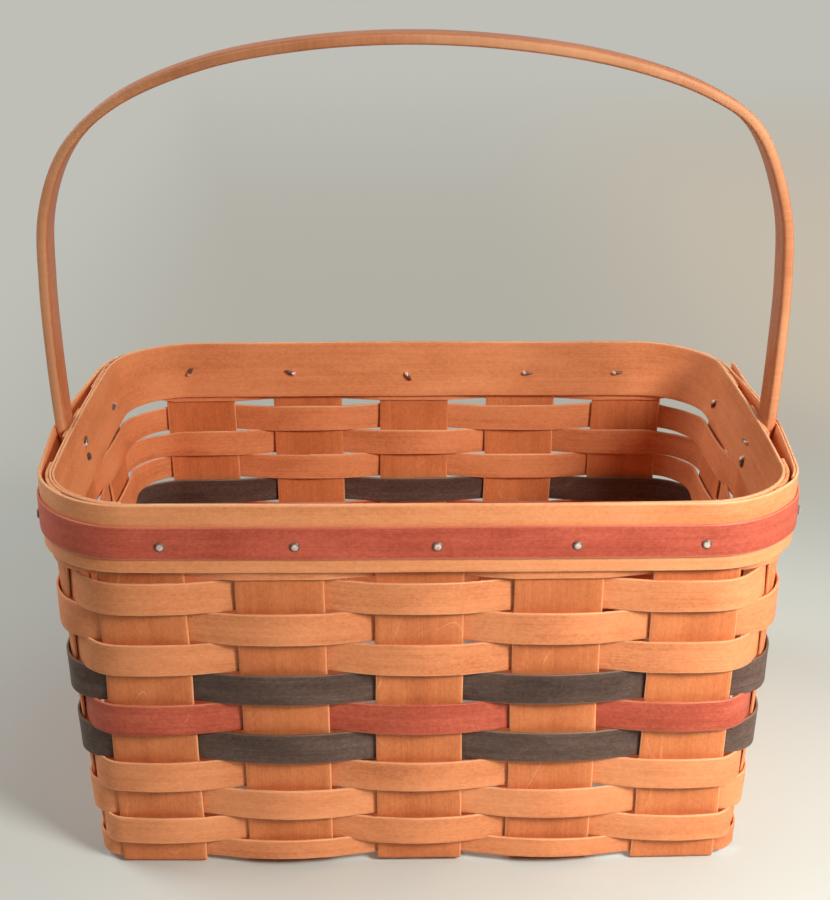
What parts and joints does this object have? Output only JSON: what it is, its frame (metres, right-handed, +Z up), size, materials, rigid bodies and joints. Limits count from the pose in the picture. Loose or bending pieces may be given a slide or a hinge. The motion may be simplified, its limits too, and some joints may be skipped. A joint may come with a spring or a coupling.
{
  "type": "cake basket",
  "caption": "Rectangular woven splint basket with nailed rim bands, a red rim strip and a fixed bentwood handle arched over its length.",
  "frame": {"origin": "middle of the bottom, on the surface that the basket stands on", "axes": "+Z up, +X along the length under the handle's arch, -Y the front"},
  "size_m": [0.318, 0.2154, 0.3293],
  "materials": {
    "natural_splint": "honey stained splint, satin",
    "charcoal_splint": "dyed charcoal splint, satin",
    "red_splint": "dyed brick red splint, satin",
    "rim_wood": "honey stained band, satin",
    "red_strip_wood": "dyed brick red strip, satin",
    "handle_wood": "honey stained bentwood, satin",
    "tack_metal": "dulled metal"
  },
  "bodies": {
    "root": {"long_splint_1": "natural_splint", "long_splint_2": "natural_splint", "long_splint_3": "natural_splint", "long_splint_4": "natural_splint", "long_splint_5": "natural_splint", "cross_splint_1": "natural_splint", "cross_splint_2": "natural_splint", "cross_splint_3": "natural_splint", "weaver_top": "natural_splint", "weaver_1": "natural_splint", "weaver_2": "natural_splint", "weaver_3": "natural_splint", "weaver_4": "charcoal_splint", "weaver_5": "red_splint", "weaver_6": "charcoal_splint", "weaver_7": "natural_splint", "weaver_8": "natural_splint", "weaver_9": "natural_splint", "weaver_bottom": "natural_splint", "inner_rim_band": "rim_wood", "outer_rim_band": "rim_wood", "red_rim_strip": "red_strip_wood", "handle": "handle_wood", "tack_front_1": "tack_metal", "tack_front_2": "tack_metal", "tack_front_3": "tack_metal", "tack_front_4": "tack_metal", "tack_front_5": "tack_metal", "tack_back_1": "tack_metal", "tack_back_2": "tack_metal", "tack_back_3": "tack_metal", "tack_back_4": "tack_metal", "tack_back_5": "tack_metal", "tack_right_1": "tack_metal", "tack_right_2": "tack_metal", "tack_right_3": "tack_metal", "tack_right_4": "tack_metal", "tack_left_1": "tack_metal", "tack_left_2": "tack_metal", "tack_left_3": "tack_metal", "tack_left_4": "tack_metal"}
  },
  "joints": []
}
